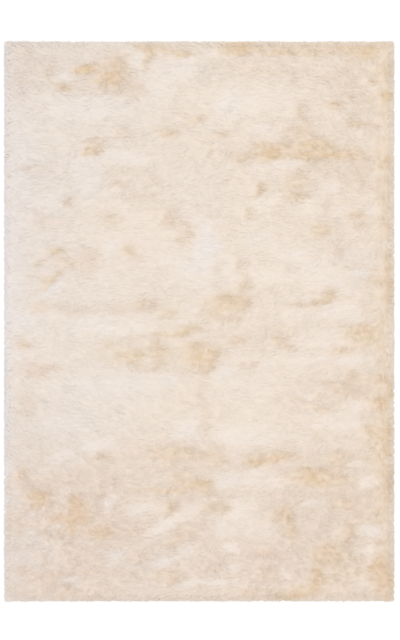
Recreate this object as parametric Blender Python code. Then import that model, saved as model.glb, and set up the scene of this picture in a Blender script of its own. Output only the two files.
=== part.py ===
"""Shag rug lying flat: a deep, silky pile on a rectangular backing, as one textile.

The body is a lumpy slab of dense pile. Its top swells where the pile is laid over in thick
mats and sinks where the pile parts, and it rolls over towards the edges. All round the rim
the outermost tufts hang out past the backing as tapered locks, in two staggered rows: the
lower row lies on the floor, and the upper row comes over the rolled edge and down between
the locks of the lower one.

Units are metres, +Z is up, and the rug's length runs along Y. The origin is on the floor
at the middle of the underside.
"""

import math
import random
from collections import namedtuple

import bmesh
import bpy
from mathutils import Vector
from mathutils.geometry import delaunay_2d_cdt

# Driving dimensions
RUG_WIDTH = 1.600  # along X, over the tips of the rim locks
RUG_LENGTH = 2.300  # along Y, over the tips of the rim locks
PILE_HEIGHT = 0.030  # mean height of the pile's top over the floor
LOCK_REACH = 0.024  # how far the rim locks hang out past the slab's straight sides
LOCK_PITCH = 0.0270  # from one rim lock to the next

# The slab's edge
SKIRT_HEIGHT = 0.011  # the upright edge of the slab
CORNER_RADIUS = 0.020
ROLL_WIDTH = 0.045  # over this distance the pile's top rolls down to the skirt
ROLL_RING = 0.010  # the ring of points on the roll is this far in from the edge

# Points that carry the slab's faces. Each point of the top is a clump of tufts, which stands
# a little off the even rows and a little higher or lower than its neighbours.
TOP_SPACING = 0.0435
BASE_SPACING = 0.150
FIRST_ROW = 0.036  # from the slab's edge to the first row of points on its top
CLUMP_DRIFT = 0.010
CLUMP_RISE = 0.0034
CLUMP_SEED = 5

# Rim locks
SHORTEST_LOCK = 0.74  # of the way from the slab to the rug's outline
LONGEST_EVERY = 7  # each seventh lock of a row reaches the outline
LOCK_SWAY = 0.0060  # how far a lock's tip may lean along the edge
LOCK_THINNEST = 0.78  # of the thickness that its rings give, and the thickest is whole
FAN_WIDTH = 0.080  # this far from a corner, the locks begin to turn towards it
LOCK_SEED = 11

# A ring of a lock: its place along the reach, its width as a share of the root's, and the
# heights of its underside and its back over the floor.
LockRing = namedtuple("LockRing", "along width underside back")
LOWER_LOCK = (
    LockRing(along=0.45, width=0.80, underside=0.0, back=0.0090),
    LockRing(along=0.82, width=0.46, underside=0.0, back=0.0055),
)
UPPER_LOCK = (
    LockRing(along=0.42, width=0.86, underside=0.0040, back=0.0130),
    LockRing(along=0.80, width=0.52, underside=0.0, back=0.0070),
)

# Long waves of the pile's top: the distance from crest to crest, the way the wave runs as
# degrees from +X, its phase in turns, and its rise.
Wave = namedtuple("Wave", "pitch heading phase rise")
WAVES = (
    Wave(pitch=0.205, heading=72, phase=0.10, rise=0.0016),
    Wave(pitch=0.163, heading=118, phase=0.55, rise=0.0014),
    Wave(pitch=0.236, heading=21, phase=0.32, rise=0.0013),
    Wave(pitch=0.134, heading=155, phase=0.81, rise=0.0012),
)

# Mounds where the pile is laid over in a thick mat, and partings where it opens: the
# middle, the half length and half width, the turn in degrees, and the rise.
Patch = namedtuple("Patch", "x y along across turn rise")
PATCHES = (
    # mounds
    Patch(x=-0.11, y=0.99, along=0.150, across=0.085, turn=0, rise=0.0045),
    Patch(x=0.23, y=0.89, along=0.210, across=0.080, turn=0, rise=0.0045),
    Patch(x=-0.44, y=0.87, along=0.200, across=0.085, turn=5, rise=0.0038),
    Patch(x=-0.49, y=0.58, along=0.180, across=0.090, turn=0, rise=0.0032),
    Patch(x=0.02, y=0.30, along=0.190, across=0.055, turn=90, rise=0.0050),
    Patch(x=0.23, y=0.40, along=0.110, across=0.100, turn=0, rise=0.0038),
    Patch(x=0.47, y=0.26, along=0.180, across=0.070, turn=-30, rise=0.0045),
    Patch(x=-0.40, y=-0.23, along=0.300, across=0.130, turn=3, rise=0.0050),
    Patch(x=0.23, y=-0.33, along=0.160, across=0.140, turn=0, rise=0.0045),
    Patch(x=0.57, y=-0.39, along=0.110, across=0.075, turn=20, rise=0.0038),
    Patch(x=0.22, y=-0.67, along=0.130, across=0.065, turn=0, rise=0.0045),
    Patch(x=-0.12, y=-0.86, along=0.150, across=0.045, turn=28, rise=0.0038),
    Patch(x=0.71, y=-0.90, along=0.070, across=0.090, turn=0, rise=0.0032),
    # partings
    Patch(x=-0.37, y=1.02, along=0.110, across=0.050, turn=4, rise=-0.0085),
    Patch(x=-0.43, y=0.71, along=0.080, across=0.045, turn=25, rise=-0.0065),
    Patch(x=0.40, y=0.70, along=0.220, across=0.060, turn=4, rise=-0.0100),
    Patch(x=0.42, y=0.54, along=0.070, across=0.060, turn=0, rise=-0.0055),
    Patch(x=-0.05, y=0.38, along=0.080, across=0.050, turn=80, rise=-0.0055),
    Patch(x=-0.60, y=0.18, along=0.085, across=0.045, turn=60, rise=-0.0070),
    Patch(x=0.11, y=0.07, along=0.095, across=0.060, turn=0, rise=-0.0085),
    Patch(x=0.52, y=0.10, along=0.085, across=0.045, turn=0, rise=-0.0055),
    Patch(x=-0.15, y=-0.13, along=0.120, across=0.070, turn=-5, rise=-0.0065),
    Patch(x=0.02, y=-0.14, along=0.070, across=0.085, turn=0, rise=-0.0080),
    Patch(x=0.66, y=-0.07, along=0.105, across=0.055, turn=0, rise=-0.0070),
    Patch(x=-0.10, y=-0.54, along=0.180, across=0.045, turn=0, rise=-0.0065),
    Patch(x=0.30, y=-0.56, along=0.100, across=0.048, turn=5, rise=-0.0080),
    Patch(x=0.48, y=-0.64, along=0.110, across=0.045, turn=-8, rise=-0.0080),
    Patch(x=-0.53, y=-0.79, along=0.130, across=0.085, turn=-20, rise=-0.0100),
    Patch(x=0.37, y=-0.81, along=0.095, across=0.048, turn=-65, rise=-0.0065),
    Patch(x=0.55, y=-1.00, along=0.140, across=0.110, turn=20, rise=-0.0060),
)

SLAB_HALF_WIDTH = RUG_WIDTH / 2 - LOCK_REACH
SLAB_HALF_LENGTH = RUG_LENGTH / 2 - LOCK_REACH

YARN_COLOUR = (0.83, 0.72, 0.61, 1.0)
YARN_ROUGHNESS = 0.55


def clear_scene():
    """Remove whatever the file opened with."""
    for obj in list(bpy.data.objects):
        bpy.data.objects.remove(obj, do_unlink=True)


def yarn_material():
    """Cream polyester yarn: soft and lustrous, never metallic."""
    yarn = bpy.data.materials.new("cream_yarn")
    yarn.use_nodes = True
    shader = yarn.node_tree.nodes["Principled BSDF"]
    shader.inputs["Base Color"].default_value = YARN_COLOUR
    shader.inputs["Roughness"].default_value = YARN_ROUGHNESS
    shader.inputs["Metallic"].default_value = 0.0
    return yarn


def wave_rise(x, y):
    """Sum of the long waves, each a cosine along its own heading."""
    total = 0.0
    for wave in WAVES:
        heading = math.radians(wave.heading)
        along = x * math.cos(heading) + y * math.sin(heading)
        total += wave.rise * math.cos(2 * math.pi * (along / wave.pitch + wave.phase))
    return total


def patch_rise(x, y):
    """Sum of the mounds and partings, each a smooth bell on a turned oval."""
    total = 0.0
    for patch in PATCHES:
        turn = math.radians(patch.turn)
        across_x, across_y = x - patch.x, y - patch.y
        u = (across_x * math.cos(turn) + across_y * math.sin(turn)) / patch.along
        v = (across_y * math.cos(turn) - across_x * math.sin(turn)) / patch.across
        total += patch.rise * math.exp(-(u * u + v * v))
    return total


def edge_distance(x, y):
    """Distance from a point inside the slab to its rounded outline, seen from above."""
    inner_x = SLAB_HALF_WIDTH - CORNER_RADIUS
    inner_y = SLAB_HALF_LENGTH - CORNER_RADIUS
    past_x, past_y = abs(x) - inner_x, abs(y) - inner_y
    if past_x > 0 and past_y > 0:
        return CORNER_RADIUS - math.hypot(past_x, past_y)
    return CORNER_RADIUS - max(past_x, past_y)


def pile_top(x, y):
    """Height of the pile over the floor: the lumpy top, rolled down to the skirt at the rim."""
    open_height = PILE_HEIGHT + wave_rise(x, y) + patch_rise(x, y)
    share = min(max(edge_distance(x, y) / ROLL_WIDTH, 0.0), 1.0)
    roll = math.sqrt(1 - (1 - share) ** 2)
    return SKIRT_HEIGHT + (open_height - SKIRT_HEIGHT) * roll


def outline(count):
    """Evenly spaced points round the slab, each with the way that faces out of it.

    The outline is a rectangle with round corners, walked anticlockwise from the lower end
    of its right side. Each corner is an arc about its own centre.
    """
    straight_x = 2 * (SLAB_HALF_WIDTH - CORNER_RADIUS)
    straight_y = 2 * (SLAB_HALF_LENGTH - CORNER_RADIUS)
    arc = CORNER_RADIUS * math.pi / 2
    # each stretch: its length, its start, and the way out of the slab in degrees
    stretches = (
        (straight_y, Vector((SLAB_HALF_WIDTH, -straight_y / 2)), 0),
        (straight_x, Vector((straight_x / 2, SLAB_HALF_LENGTH)), 90),
        (straight_y, Vector((-SLAB_HALF_WIDTH, straight_y / 2)), 180),
        (straight_x, Vector((-straight_x / 2, -SLAB_HALF_LENGTH)), 270),
    )
    whole = 2 * (straight_x + straight_y) + 4 * arc
    found = []
    for step in range(count):
        left = whole * step / count
        for length, start, facing in stretches:
            way_out = Vector((math.cos(math.radians(facing)), math.sin(math.radians(facing))))
            onwards = Vector((-way_out.y, way_out.x))
            if left <= length:
                found.append((start + onwards * left, way_out))
                break
            left -= length
            if left <= arc:
                turned = math.radians(facing) + left / CORNER_RADIUS
                centre = start + onwards * length - way_out * CORNER_RADIUS
                way_out = Vector((math.cos(turned), math.sin(turned)))
                found.append((centre + way_out * CORNER_RADIUS, way_out))
                break
            left -= arc
    return found


def ring_of_points(mesh, places, inset, height):
    """A closed ring of mesh points, this far in from the outline. Height is a number or a rule."""
    ring = []
    for place, way_out in places:
        spot = place - way_out * inset
        z = height(spot.x, spot.y) if callable(height) else height
        ring.append(mesh.verts.new((spot.x, spot.y, z)))
    return ring


def inner_grid(spacing, margin):
    """Places (x, y) on an even grid inside the slab, its outer rows this margin from the edge."""
    reach_x, reach_y = SLAB_HALF_WIDTH - margin, SLAB_HALF_LENGTH - margin
    columns, rows = round(2 * reach_x / spacing), round(2 * reach_y / spacing)
    return [
        (reach_x * (2 * column / columns - 1), reach_y * (2 * row / rows - 1))
        for row in range(rows + 1)
        for column in range(columns + 1)
    ]


def clump_tops():
    """The points of the pile's top: one clump each, drifted off the grid, higher or lower."""
    chance = random.Random(CLUMP_SEED)
    places = []
    for x, y in inner_grid(TOP_SPACING, FIRST_ROW):
        x += chance.uniform(-CLUMP_DRIFT, CLUMP_DRIFT)
        y += chance.uniform(-CLUMP_DRIFT, CLUMP_DRIFT)
        places.append((x, y, pile_top(x, y) + chance.uniform(-CLUMP_RISE, CLUMP_RISE)))
    return places


def fill_ring(mesh, ring, places, upwards):
    """Faces over a ring and the places inside it, as a Delaunay triangulation seen from above."""
    points = list(ring) + [mesh.verts.new(place) for place in places]
    flat = [Vector((point.co.x, point.co.y)) for point in points]
    border = [list(range(len(ring)))]
    inside_only = 1
    result = delaunay_2d_cdt(flat, [], border, inside_only, 1e-6)
    triangles, came_from = result[2], result[3]
    for triangle in triangles:
        corners = [points[came_from[index][0]] for index in triangle]
        mesh.faces.new(corners if upwards else corners[::-1])


def fan_direction(place):
    """The way a lock hangs: square to the side it is on, and turned outwards near a corner.

    Within FAN_WIDTH of a corner it points away from the inner corner of that square.
    """
    past_x = abs(place.x) - (SLAB_HALF_WIDTH - FAN_WIDTH)
    past_y = abs(place.y) - (SLAB_HALF_LENGTH - FAN_WIDTH)
    across = math.copysign(max(past_x, 0.0), place.x)
    along = math.copysign(max(past_y, 0.0), place.y)
    return Vector((across, along, 0.0)).normalized()


def way_to_outline(start, outwards):
    """How far it is from start to the rug's rectangular outline, straight along outwards."""
    ways = []
    for half, place, step in zip((RUG_WIDTH / 2, RUG_LENGTH / 2), start, outwards):
        if abs(step) > 0:
            ways.append((math.copysign(half, step) - place) / step)
    return min(ways)


def add_lock(mesh, root, rings, share, sway, thickness):
    """One four-sided lock, from its root on the slab to a tip that rests on the floor.

    The root is (lower left, lower right, upper right, upper left), seen from outside. Each
    ring is a narrower copy of the root's width, further out, and the tip is one point. The
    lock goes this share of the way to the rug's outline.
    """
    edge = (root[0].co + root[1].co) / 2
    edge.z = 0.0
    outwards = fan_direction(edge)
    onwards = Vector((-outwards.y, outwards.x, 0.0))
    reach = outwards * share * way_to_outline(edge + onwards * sway, outwards)
    half_width = (root[1].co - root[0].co).length / 2
    before = root
    for ring in rings:
        middle = edge + reach * ring.along + onwards * sway * ring.along**2
        side = onwards * half_width * ring.width
        back = ring.back * thickness
        heights = (ring.underside, ring.underside, back, back)
        sides = (-side, side, side, -side)
        corners = [
            mesh.verts.new(middle + step + Vector((0, 0, z))) for step, z in zip(sides, heights)
        ]
        for here in range(4):
            after = (here + 1) % 4
            mesh.faces.new((before[here], before[after], corners[after], corners[here]))
        before = corners
    tip = mesh.verts.new(edge + reach + onwards * sway)
    for here in range(4):
        mesh.faces.new((before[here], before[(here + 1) % 4], tip))


def add_rim(mesh, base_ring, skirt_ring, roll_ring):
    """The slab's upright edge and its roll, with a lock in each cell, by turns low and high."""
    chance = random.Random(LOCK_SEED)
    count = len(base_ring)
    for cell in range(count):
        after = (cell + 1) % count
        wall = (base_ring[cell], base_ring[after], skirt_ring[after], skirt_ring[cell])
        roll = (skirt_ring[cell], skirt_ring[after], roll_ring[after], roll_ring[cell])
        longest = (cell // 2) % LONGEST_EVERY == 0
        share = 1.0 if longest else chance.uniform(SHORTEST_LOCK, 1.0)
        sway = chance.uniform(-LOCK_SWAY, LOCK_SWAY)
        thickness = chance.uniform(LOCK_THINNEST, 1.0)
        if cell % 2 == 0:
            add_lock(mesh, wall, LOWER_LOCK, share, sway, thickness)
            mesh.faces.new(roll)
        else:
            mesh.faces.new(wall)
            add_lock(mesh, roll, UPPER_LOCK, share, sway, thickness)


def shag_rug():
    """The whole rug as one closed solid."""
    around = 4 * (SLAB_HALF_WIDTH + SLAB_HALF_LENGTH) - (8 - 2 * math.pi) * CORNER_RADIUS
    locks = 2 * round(around / LOCK_PITCH / 2)  # even, so that the two rows take turns
    places = outline(locks)
    mesh = bmesh.new()
    base_ring = ring_of_points(mesh, places, 0.0, 0.0)
    skirt_ring = ring_of_points(mesh, places, 0.0, SKIRT_HEIGHT)
    roll_ring = ring_of_points(mesh, places, ROLL_RING, pile_top)
    add_rim(mesh, base_ring, skirt_ring, roll_ring)
    fill_ring(mesh, roll_ring, clump_tops(), upwards=True)
    underside = [(x, y, 0.0) for x, y in inner_grid(BASE_SPACING, BASE_SPACING / 2)]
    fill_ring(mesh, base_ring, underside, upwards=False)
    data = bpy.data.meshes.new("shag_rug")
    mesh.to_mesh(data)
    mesh.free()
    data.shade_smooth()
    data.set_sharp_from_angle(angle=math.radians(50))
    return bpy.data.objects.new("shag_rug", data)


def main():
    clear_scene()
    parts = bpy.data.collections.new("shag_rug_parts")
    bpy.context.scene.collection.children.link(parts)
    rug = shag_rug()
    rug.data.materials.append(yarn_material())
    parts.objects.link(rug)


main()
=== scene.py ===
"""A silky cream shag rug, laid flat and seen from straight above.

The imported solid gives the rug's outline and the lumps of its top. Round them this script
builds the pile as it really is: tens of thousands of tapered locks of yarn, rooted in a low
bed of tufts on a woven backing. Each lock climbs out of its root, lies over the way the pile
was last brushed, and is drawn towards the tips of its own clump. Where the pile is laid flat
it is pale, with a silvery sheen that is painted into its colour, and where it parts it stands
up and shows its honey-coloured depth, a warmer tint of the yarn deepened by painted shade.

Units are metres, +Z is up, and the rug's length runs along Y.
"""

import math
from collections import namedtuple

import bpy
import numpy as np
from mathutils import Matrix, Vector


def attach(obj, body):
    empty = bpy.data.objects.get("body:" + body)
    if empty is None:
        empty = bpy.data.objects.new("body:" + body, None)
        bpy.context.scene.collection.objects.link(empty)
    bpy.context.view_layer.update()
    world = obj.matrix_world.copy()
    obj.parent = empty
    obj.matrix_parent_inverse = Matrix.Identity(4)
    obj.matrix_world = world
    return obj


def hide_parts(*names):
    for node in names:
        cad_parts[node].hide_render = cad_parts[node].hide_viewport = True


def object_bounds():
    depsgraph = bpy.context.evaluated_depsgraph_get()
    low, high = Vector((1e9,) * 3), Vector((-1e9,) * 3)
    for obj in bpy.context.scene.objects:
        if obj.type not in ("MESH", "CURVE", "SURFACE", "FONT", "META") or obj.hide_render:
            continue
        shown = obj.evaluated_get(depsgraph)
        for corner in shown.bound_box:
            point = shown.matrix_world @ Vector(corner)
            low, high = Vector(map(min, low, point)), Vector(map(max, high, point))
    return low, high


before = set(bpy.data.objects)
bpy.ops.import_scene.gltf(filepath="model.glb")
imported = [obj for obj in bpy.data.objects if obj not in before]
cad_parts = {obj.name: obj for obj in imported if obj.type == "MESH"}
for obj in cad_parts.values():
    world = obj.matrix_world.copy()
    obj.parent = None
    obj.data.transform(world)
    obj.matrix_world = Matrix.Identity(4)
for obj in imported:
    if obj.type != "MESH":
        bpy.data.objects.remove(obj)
cad_low, cad_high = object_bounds()

# The rug's outline
HALF_WIDTH, HALF_LENGTH = cad_high.x, cad_high.y
CORNER = 0.009  # radius of its corners
FAN = 0.080  # this far from a corner, the way out begins to turn towards it

# The pile, from the floor up
ROLL = 0.050  # over this distance from the outline the pile rises to its open height
OPEN_FROM = 1.4 * ROLL  # lumps are taken from the solid's points this far in from the outline
LOWEST_LUMP = cad_high.z / 4  # the solid's points under this height belong to its underside
LUMP_REACH = 0.024 * math.sqrt(2)  # how widely a point of the solid's top spreads over the lumps
LUMP_PITCH = 0.012  # of the grid that holds the lumps
EVENED = 1.0  # how much straight up counts in the pile's shading, next to its slopes

# The pile's tone, next to the brushed places: how golden it gets towards the right-hand side,
# how rosy towards the lower end, from LOW_START on over LOW_REACH, and how lilac it is along
# the middle line and how much more so at the left-hand side.
# Gold and rose deepen the yarn towards honey and rose, which is partly painted depth shade as at the
# partings, and lilac cools the pale yarn and its painted sheen.
TONE_PITCH = 0.005  # of the grids that hold it
SLOW_GOLD = 0.24
SLOW_ROSE = 0.35
LOW_START = -0.35
LOW_REACH = 0.45
LILAC_MIDDLE = 0.08
LILAC_RISE = 0.52
RIM_PARTING_TONE = 0.25  # of pile that lies inwards near the outline
RIM_PARTING_INSET = 0.052
RIM_PARTING_WIDTH = 0.026
LEAST_DEPTH = 0.05  # where gold and rose come to less than this, the share of rose fades
ROSE_GRAIN = 0.5  # how strongly rose shows the grain, next to gold
PALE_GRAIN = 0.6  # and how strongly the mats show it
OPEN_MOTTLING = 0.5  # the share of the mottling that is there where the pile doesn't part

# The way that the pile lies. Its flow has a strength of 1. It falls to both sides of a parting,
# hangs outwards at the rim, and lies along the rim where it begins to hang.
PARTING_PUSH = 1.1
PARTING_STEEP = 2  # how quickly the push grows on both sides of the parting's axis
HANG_REACH = 0.036  # about this far in from the outline the pile begins to hang outwards
HANG_PULL = 3.0
ALONG_RIM = 1.2
ALONG_RIM_WIDTH = 0.030

# Noise over the rug, in layers: the height of each, its pitch along X and along Y, and its seed.
# A fray moves the edges of the brushed places, and a wander the lines between clumps.
FRAY_X = ((0.020, 0.085, 0.034, 1), (0.009, 0.024, 0.012, 2))
FRAY_Y = ((0.012, 0.110, 0.030, 3), (0.006, 0.026, 0.011, 4))
GRAIN = ((0.42, 0.058, 0.032, 14), (0.36, 0.026, 0.016, 15), (0.30, 0.014, 0.010, 16))
MOTTLING = ((0.06, 0.120, 0.055, 5), (0.12, 0.110, 0.013, 9))
LILAC_DRIFT = ((0.20, 0.30, 0.22, 31),)
FLOW_DRIFT = ((0.55, 0.42, 0.30, 7), (0.45, 0.110, 0.070, 8))  # radians
HANG_DRIFT = ((0.30, 0.070, 0.070, 18),)  # as a share of HANG_REACH
RIM_TURNS = ((4, 0.190, 0.190, 17),)  # which way round the rim the pile lies, by its sign
CLUMP_WANDER_X = ((0.012, 0.045, 0.045, 11),)
CLUMP_WANDER_Y = ((0.012, 0.045, 0.045, 12),)
RIM_WANDER = ((0.011, 0.031, 1.0, 61),)
BED_LUMPS = ((0.0006, 0.018, 0.018, 81),)

# How a lock is made where the pile lies flat and where it parts: its size, its slopes in
# degrees over its three stretches, how much its heading strays, how far it is drawn to its
# clump, its roll, how far its root and the bed are sunk under the open top, and how much of
# its shading is its own, next to that of the whole pile's surface.
Lie = namedtuple("Lie", "length width thickness climb lay droop curl pull roll sunk fill own")
FLAT = Lie(
    length=0.050, width=0.0056, thickness=0.0015, climb=28, lay=4, droop=-3,
    curl=8, pull=0.35, roll=8, sunk=0.0070, fill=0.0008, own=0.12,
)
PARTED = Lie(
    length=0.030, width=0.0048, thickness=0.0019, climb=62, lay=38, droop=15,
    curl=24, pull=0.5, roll=20, sunk=0.0175, fill=0.0070, own=0.2,
)
PARTED_AT_REST = 0.22  # how far locks are on the way from FLAT to PARTED at a warmth of 0
PARTED_RISE = 0.70  # and how much further at a warmth of 1
SWELL = (0.5, 1.0, 0.85)  # width towards the root, at the last ring but one and at the last
GIRTH = 2.4  # the way round a lock, next to its width
STRAND_SPREAD = 4000  # mm, over which the locks' own places on the strand map are spread

# Locks in the open field
FIELD_PITCH = 0.0076
FIELD_EDGE = 0.011  # no root is nearer to the outline than this
FIELD_PIECES = 4
ROOT_DRIFT = 0.48  # how far a root stands off its place at most, in pitches
RINGS = (0.26, 0.60)  # places of a lock's rings along its length
STOP_SHORT = 0.0045  # tips stay this far inside the outline
SHORTEST = 0.2  # of its length is left of a lock that would pass the outline
SETTLED = 0.34  # of its rise is left of a lock at the outline, and all from SETTLE_REACH inwards
SETTLE_REACH = 0.040

# How much they differ by chance. The first three run from the least to the most, as shares.
LENGTHS = (0.78, 1.18)
SIZES = (0.75, 1.25)
PULLS = (0.6, 1.2)
SLOPE_SPREAD = (4.0, 2.0, 3.0)  # degrees, over the three stretches
HEADING_SPREAD = 1.1  # in parts of the lock's curl
CURL_SPREAD = 1.3  # in parts of the lock's curl
STRAYS = 0.02  # the share of locks that lie quite another way
STRAY_SPREAD = 0.8  # radians
ODD_SPREAD = 0.035  # of warmth

# Clumps in the open field, and what all locks of a clump share: a tilt of their shading, more
# or less length, another heading in radians, and more or less warmth.
CLUMP_PITCH = 0.029
CLUMP_TILT = 0.09
CLUMP_LENGTH = 0.06
CLUMP_HEADING = 0.16
CLUMP_ODD = 0.04

# Rows of locks round the rim: where they are rooted, in from the outline and over the floor,
# how high they come over, and the height of their tips.
RimRow = namedtuple("RimRow", "inset root_height crest tip_height")
RIM_ROWS = (
    RimRow(inset=0.020, root_height=0.0020, crest=0.0050, tip_height=0.0008),
    RimRow(inset=0.027, root_height=0.0050, crest=0.0095, tip_height=0.0020),
    RimRow(inset=0.036, root_height=0.0085, crest=0.0150, tip_height=0.0036),
    RimRow(inset=0.046, root_height=0.0110, crest=0.0205, tip_height=0.0054),
)
RIM_PITCH = 0.0040
RIM_RINGS = (0.26, 0.55, 0.82)
RIM_CLUMP = 0.030
RIM_PULL = 0.42  # how far tips are drawn to the middle of their clump
RIM_THICKNESS = 0.34  # of a lock's width
RIM_OWN = 0.20  # the share of their shading that is their own
CREST_PLACE = 0.74  # how far the crest is on the way from the root to the tip
END_SHORT = 0.0025  # the tips at the rug's two ends stop about this far short of those at its sides
LOWEST_TIP = 0.0007
LOCK_BELOW = 0.22  # of its width may lie below a lock's path
LOWEST_LOCK = 0.0004  # over the floor

# How much they differ by chance. The first three run from the least to the most, as shares.
INSETS = (0.85, 1.15)
CRESTS = (0.85, 1.20)
TIP_HEIGHTS = (0.5, 1.6)
RIM_WIDTHS = (0.0040, 0.0062)
RIM_DRIFT = 0.45  # how far a root stands off its place at most, in pitches
TIP_SWAY = 0.0035  # along the rim
TIP_REACH = (-0.0015, 0.0022)  # the middle and the spread of how far tips pass the outline
TIP_LIMITS = (-0.009, 0.0022)  # the least and the most of it
CLUMP_REACH = 0.0012  # the spread of what a clump's tips share of it
RIM_ROLL = 0.15  # radians
RIM_ODD = 0.08  # of warmth

# The backing and the bed of tuft roots on it
BACKING_INSET = 0.020
BACKING_THICKNESS = 0.0016
BACKING_PITCH = 0.040
THREAD = 0.0034  # from one thread of its weave to the next
BED_INSET = 0.008
BED_PITCH = 0.0135
BED_MOVED = (1.004, 1.003)  # its top is the ground moved in, as a share along X and along Y
BED_EDGE = 0.35  # its height at its edge, next to the ground's, which it reaches over BED_RISE
BED_RISE = 0.024
BED_GAP = 0.0002  # between it and the backing
BED_LEAST = 0.0006  # its top is at least this much over the backing
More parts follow.
